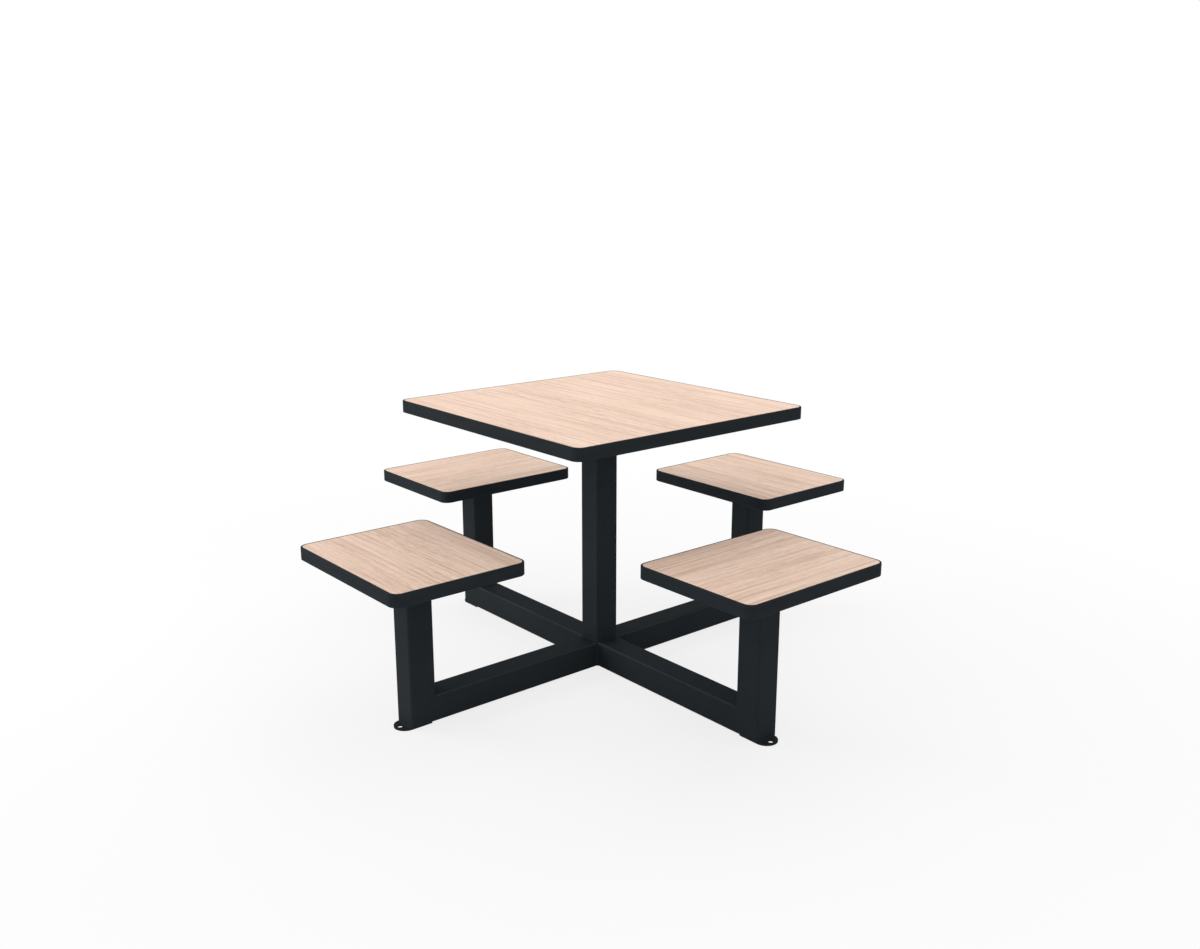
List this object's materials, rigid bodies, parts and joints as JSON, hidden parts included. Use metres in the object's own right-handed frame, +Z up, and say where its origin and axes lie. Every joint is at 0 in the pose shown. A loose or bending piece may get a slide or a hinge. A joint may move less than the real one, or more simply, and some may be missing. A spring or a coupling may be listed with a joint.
{
  "type": "table with attached swivel seats",
  "caption": "Square laminate table on a central tube column; a cross base of tube arms carries a rectangular swivel seat on an upright post at each side.",
  "frame": {"origin": "on the floor, below the middle of the column", "axes": "+Z up; the base arms lie along X and Y; the front seat is on -Y, the right seat on +X"},
  "size_m": [1.535, 1.535, 0.73],
  "materials": {
    "powder_coat": "satin fine-texture charcoal powder coat on steel",
    "oak_laminate": "matt pale oak decorative laminate with long grain",
    "edge_band": "matt charcoal plastic edge band with eased arrises",
    "panel_board": "particle board, matt dark grey backing on its underside",
    "zinc_steel": "bright zinc-plated steel",
    "bearing_acetal": "turned black acetal"
  },
  "bodies": {
    "base": {"column": "powder_coat", "top_plate": "powder_coat", "table_board": "panel_board", "table_laminate": "oak_laminate", "table_edge_band": "edge_band", "table_screws": "zinc_steel", "base_arm_front": "powder_coat", "seat_post_front": "powder_coat", "foot_plate_front": "powder_coat", "post_cap_plate_front": "powder_coat", "pivot_stud_front": "zinc_steel", "pivot_nut_front": "zinc_steel", "base_arm_right": "powder_coat", "seat_post_right": "powder_coat", "foot_plate_right": "powder_coat", "post_cap_plate_right": "powder_coat", "pivot_stud_right": "zinc_steel", "pivot_nut_right": "zinc_steel", "base_arm_back": "powder_coat", "seat_post_back": "powder_coat", "foot_plate_back": "powder_coat", "post_cap_plate_back": "powder_coat", "pivot_stud_back": "zinc_steel", "pivot_nut_back": "zinc_steel", "base_arm_left": "powder_coat", "seat_post_left": "powder_coat", "foot_plate_left": "powder_coat", "post_cap_plate_left": "powder_coat", "pivot_stud_left": "zinc_steel", "pivot_nut_left": "zinc_steel"},
    "seat_front": {"seat_board_front": "panel_board", "seat_laminate_front": "oak_laminate", "seat_edge_band_front": "edge_band", "swivel_plate_front": "powder_coat", "swivel_bearing_front": "bearing_acetal", "seat_screws_front": "zinc_steel"},
    "seat_right": {"seat_board_right": "panel_board", "seat_laminate_right": "oak_laminate", "seat_edge_band_right": "edge_band", "swivel_plate_right": "powder_coat", "swivel_bearing_right": "bearing_acetal", "seat_screws_right": "zinc_steel"},
    "seat_back": {"seat_board_back": "panel_board", "seat_laminate_back": "oak_laminate", "seat_edge_band_back": "edge_band", "swivel_plate_back": "powder_coat", "swivel_bearing_back": "bearing_acetal", "seat_screws_back": "zinc_steel"},
    "seat_left": {"seat_board_left": "panel_board", "seat_laminate_left": "oak_laminate", "seat_edge_band_left": "edge_band", "swivel_plate_left": "powder_coat", "swivel_bearing_left": "bearing_acetal", "seat_screws_left": "zinc_steel"}
  },
  "joints": [
    {"name": "seat_front_swivel", "type": "hinge", "parent": "base", "child": "seat_front", "pos_m": [0, -0.5875, 0.395], "axis": [0, 0, 1], "continuous": true},
    {"name": "seat_right_swivel", "type": "hinge", "parent": "base", "child": "seat_right", "pos_m": [0.5875, 0, 0.395], "axis": [0, 0, 1], "continuous": true},
    {"name": "seat_back_swivel", "type": "hinge", "parent": "base", "child": "seat_back", "pos_m": [0, 0.5875, 0.395], "axis": [0, 0, 1], "continuous": true},
    {"name": "seat_left_swivel", "type": "hinge", "parent": "base", "child": "seat_left", "pos_m": [-0.5875, 0, 0.395], "axis": [0, 0, 1], "continuous": true}
  ]
}
